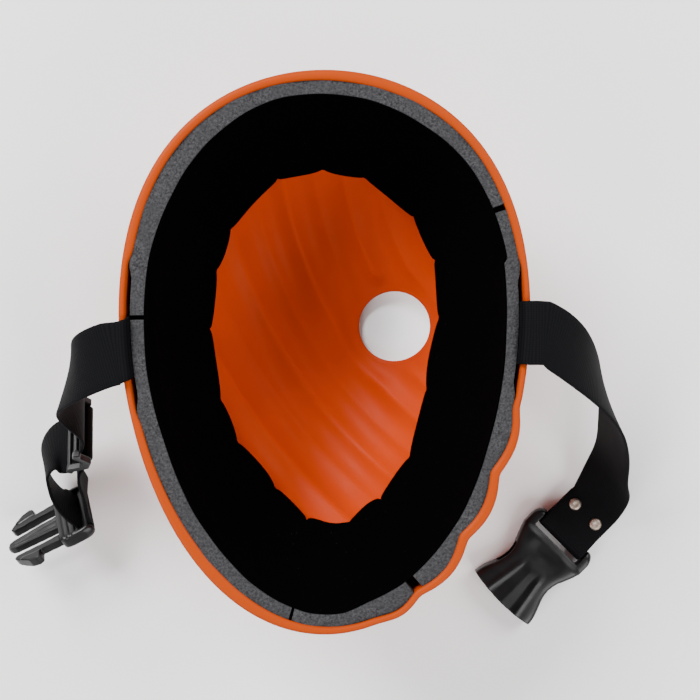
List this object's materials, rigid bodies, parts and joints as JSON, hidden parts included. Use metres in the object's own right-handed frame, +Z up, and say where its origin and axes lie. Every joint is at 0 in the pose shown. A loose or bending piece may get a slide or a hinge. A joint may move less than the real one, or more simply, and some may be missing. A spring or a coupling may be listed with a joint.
{
  "type": "full-face mask",
  "caption": "Egg-shaped moulded full-face mask with a single round eye hole, foam liner strips and a webbing strap that closes with a side-release buckle.",
  "frame": {"origin": "middle of the footprint on the table that the mask lies on, front down", "axes": "+Z up, out of the open back; +Y towards the forehead; +X towards the side with the eye hole"},
  "size_m": [0.3374, 0.2824, 0.118],
  "materials": {
    "shell": "satin",
    "foam": "matt, open cell",
    "facing": "napped",
    "webbing": "woven",
    "thread": "twisted",
    "rivet": "dulled nickel",
    "buckle": "moulded, slight sheen"
  },
  "bodies": {
    "mask": {"shell": "shell", "liner_top_foam": "foam", "liner_top_facing": "facing", "liner_right_foam": "foam", "liner_right_facing": "facing", "liner_chin_foam": "foam", "liner_chin_facing": "facing", "liner_left_foam": "foam", "liner_left_facing": "facing", "left_anchor": "webbing", "right_anchor": "webbing"},
    "left_strap": {"left_strap": "webbing", "left_fold": "webbing", "return_strap": "webbing"},
    "slide_adjuster": {"adjuster": "buckle", "sewn_fold": "webbing", "return_stitching": "thread"},
    "male_buckle": {"male_body": "buckle"},
    "prong_upper": {"prong_upper": "buckle"},
    "prong_lower": {"prong_lower": "buckle"},
    "right_strap": {"right_strap": "webbing", "right_fold": "webbing", "rivet_caps": "rivet", "rivet_backs": "rivet"},
    "female_buckle": {"female_body": "buckle"}
  },
  "joints": [
    {"name": "left_strap_swing", "type": "hinge", "parent": "mask", "child": "left_strap", "pos_m": [-0.0962, 0.0071, 0.117], "axis": [-0.2756, 0.9613, 0], "range_deg": [0, 110]},
    {"name": "right_strap_swing", "type": "hinge", "parent": "mask", "child": "right_strap", "pos_m": [0.1058, 0.0174, 0.117], "axis": [0, -1, 0], "range_deg": [0, 110]},
    {"name": "adjuster_slide", "type": "slide", "parent": "left_strap", "child": "slide_adjuster", "axis": [-0.3568, -0.4968, -0.7912], "range_m": [-0.004, 0.0015], "deforming": ["return_strap"]},
    {"name": "male_pivot", "type": "hinge", "parent": "left_strap", "child": "male_buckle", "pos_m": [-0.1272, -0.0776, 0.019], "axis": [0.289, -0.5436, 0.788], "range_deg": [0, 95]},
    {"name": "prong_upper_flex", "type": "hinge", "parent": "male_buckle", "child": "prong_upper", "pos_m": [-0.14547, -0.07839, 0.00891], "axis": [-0.3699, 0.6958, 0.6157], "range_deg": [0, 7], "stiffness_Nm_per_rad": 1},
    {"name": "prong_lower_flex", "type": "hinge", "parent": "male_buckle", "child": "prong_lower", "pos_m": [-0.13807, -0.0923, 0.02909], "axis": [0.3699, -0.6958, -0.6157], "range_deg": [0, 7], "stiffness_Nm_per_rad": 1},
    {"name": "female_pivot", "type": "hinge", "parent": "right_strap", "child": "female_buckle", "pos_m": [0.134, -0.0928, 0.0062], "axis": [0.7071, -0.7071, 0], "range_deg": [-90, 60]}
  ],
  "couplings": [
    {"joint": "prong_lower_flex", "follows": "prong_upper_flex", "ratio": 1}
  ]
}
